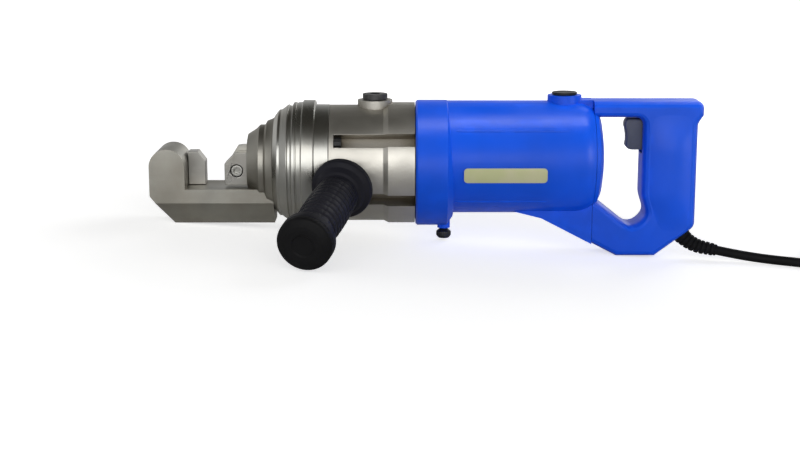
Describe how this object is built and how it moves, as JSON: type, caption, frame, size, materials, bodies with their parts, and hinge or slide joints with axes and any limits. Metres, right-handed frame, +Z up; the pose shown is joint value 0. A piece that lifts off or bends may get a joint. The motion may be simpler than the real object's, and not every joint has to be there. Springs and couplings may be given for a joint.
{
  "type": "portable hydraulic rebar cutter",
  "caption": "Corded electric-hydraulic rebar cutter: C-shaped steel head with two cutter blocks, pump case, blue motor housing, D-handle with trigger, side handle and coiled lead.",
  "frame": {"origin": "on the ground, under the middle of the tool without its cord, as it stands on the front edge of its head and the foot of its D-handle", "axes": "+Z up; +X from the cutter head towards the D-handle; the side handle points to -Y"},
  "size_m": [0.6824, 0.2984, 0.1336],
  "materials": {
    "forged_steel": "machined forging, faintly oiled",
    "machined_steel": "turned, satin",
    "tool_steel": "ground, satin",
    "cast_aluminium": "cast, tumbled",
    "black_steel": "black oxide",
    "bearing_steel": "ground",
    "copper": "enamelled copper wire",
    "laminations": "varnished laminations",
    "brass": "turned",
    "carbon": "pressed carbon",
    "blue_plastic": "moulded, semi-gloss",
    "dark_plastic": "moulded, satin",
    "black_plastic": "moulded, satin",
    "plate": "printed foil plate, satin",
    "rubber": "matt",
    "soft_grip": "matt"
  },
  "bodies": {
    "tool": {"cutter_head": "forged_steel", "fixed_cutter_block": "tool_steel", "fixed_cutter_screw": "machined_steel", "return_spring": "machined_steel", "wiper_seal": "rubber", "rod_guide": "brass", "cylinder": "machined_steel", "pump_case": "cast_aluminium", "case_bolt_1": "black_steel", "case_bolt_2": "black_steel", "case_bolt_3": "black_steel", "case_bolt_4": "black_steel", "oil_filler_plug": "black_steel", "pump_block": "cast_aluminium", "pump_plunger": "bearing_steel", "plunger_spring": "machined_steel", "oil_bladder": "rubber", "gear_case": "cast_aluminium", "gear_cover": "cast_aluminium", "shaft_bearing_front": "bearing_steel", "shaft_bearing_rear": "bearing_steel", "armature_bearing_front": "bearing_steel", "armature_bearing_rear": "bearing_steel", "stator_core": "laminations", "stator_winding": "copper", "brush_holder_top": "brass", "brush_holder_bottom": "brass", "carbon_brush_top": "carbon", "carbon_brush_bottom": "carbon", "brush_cap_top": "black_plastic", "brush_cap_bottom": "black_plastic", "motor_housing": "blue_plastic", "name_plate": "plate", "handle_half_near": "blue_plastic", "handle_half_far": "blue_plastic", "trigger_spring": "machined_steel", "switch_body": "black_plastic", "side_handle_stud": "machined_steel", "side_handle_grip": "soft_grip", "side_handle_end_cap": "rubber", "strain_relief": "rubber", "power_cord": "rubber", "cord_coil": "rubber", "cord_tie": "black_plastic", "mains_plug": "black_plastic"},
    "piston_group": {"piston_rod": "machined_steel", "piston": "machined_steel", "piston_seal": "rubber", "moving_cutter_block": "tool_steel", "moving_cutter_screw": "machined_steel"},
    "trigger": {"trigger": "dark_plastic"},
    "armature": {"armature_shaft": "machined_steel", "armature_core": "laminations", "armature_winding": "copper", "commutator": "copper", "cooling_fan": "black_plastic"},
    "eccentric": {"eccentric_shaft": "machined_steel", "eccentric_bearing": "bearing_steel", "eccentric_gear": "machined_steel"},
    "release_valve": {"release_valve_knob": "black_steel"}
  },
  "joints": [
    {"name": "piston_slide", "type": "slide", "parent": "tool", "child": "piston_group", "axis": [-0.9971, 0, -0.0763], "range_m": [0, 0.0195], "stiffness_N_per_m": 4000, "springref_m": -0.005, "deforming": ["return_spring"]},
    {"name": "trigger_pull", "type": "hinge", "parent": "tool", "child": "trigger", "pos_m": [0.17705, 0.05349, 0.11206], "axis": [0, -1, 0], "range_deg": [0, 11], "stiffness_Nm_per_rad": 0.3, "springref_deg": -11.46, "deforming": ["trigger_spring"]},
    {"name": "armature_spin", "type": "hinge", "parent": "tool", "child": "armature", "pos_m": [0.07058, 0.05349, 0.07483], "axis": [0.9971, 0, 0.0763], "continuous": true},
    {"name": "eccentric_spin", "type": "hinge", "parent": "tool", "child": "eccentric", "pos_m": [0.00278, 0.05349, 0.04331], "axis": [0.9971, 0, 0.0763], "continuous": true},
    {"name": "release_valve_turn", "type": "hinge", "parent": "tool", "child": "release_valve", "pos_m": [0.01954, 0.05349, 0.00774], "axis": [-0.0763, 0, 0.9971], "range_deg": [0, 90]}
  ],
  "couplings": [
    {"joint": "eccentric_spin", "follows": "armature_spin", "ratio": -0.4}
  ]
}
